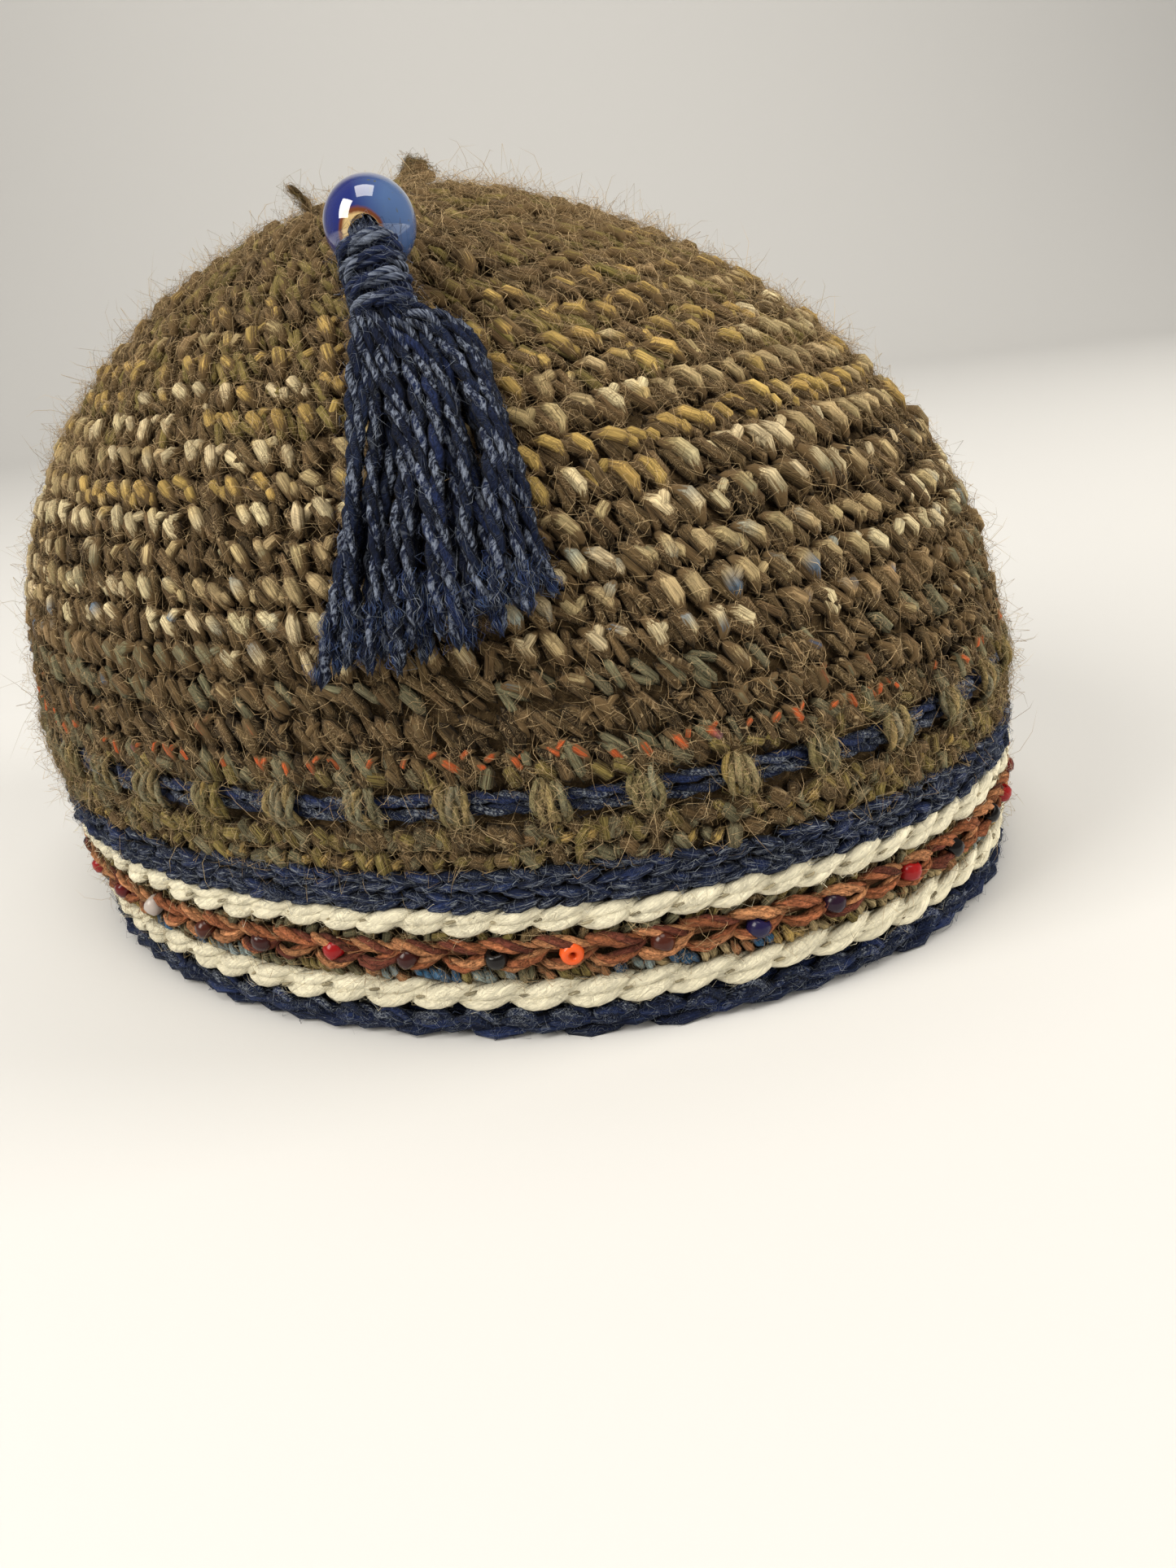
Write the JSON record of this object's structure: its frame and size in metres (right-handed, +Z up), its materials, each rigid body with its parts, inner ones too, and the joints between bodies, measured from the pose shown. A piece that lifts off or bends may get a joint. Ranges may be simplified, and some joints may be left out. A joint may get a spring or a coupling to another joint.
{
  "type": "crocheted beanie with tassel and glass bead",
  "caption": "Thick crocheted wool dome hat with chain bands and seed beads near its rim, a woven post round, and a yarn tassel hung from a glass bead at one side of the crown.",
  "frame": {"origin": "middle of the hat's outline, on the plane that its rim stands on", "axes": "+Z up, +Y towards the back of the head, +X towards the wearer's left"},
  "size_m": [0.1672, 0.2028, 0.1334],
  "materials": {
    "mohair": "fuzzy variegated mohair and wool, crocheted",
    "navy_yarn": "marled two-ply wool",
    "cream_yarn": "soft wool chain",
    "rust_yarn": "variegated wool chain with small glass seed beads",
    "blue_glass": "glossy handmade glass, near opaque"
  },
  "bodies": {
    "root": {"crown": "mohair", "crown_knot": "mohair", "woven_yarn": "navy_yarn", "navy_band": "navy_yarn", "cream_chain_upper": "cream_yarn", "rust_chain": "rust_yarn", "cream_chain_lower": "cream_yarn", "rim_edging": "navy_yarn", "glass_bead": "blue_glass", "bead_cord": "navy_yarn", "tassel": "navy_yarn"}
  },
  "joints": []
}
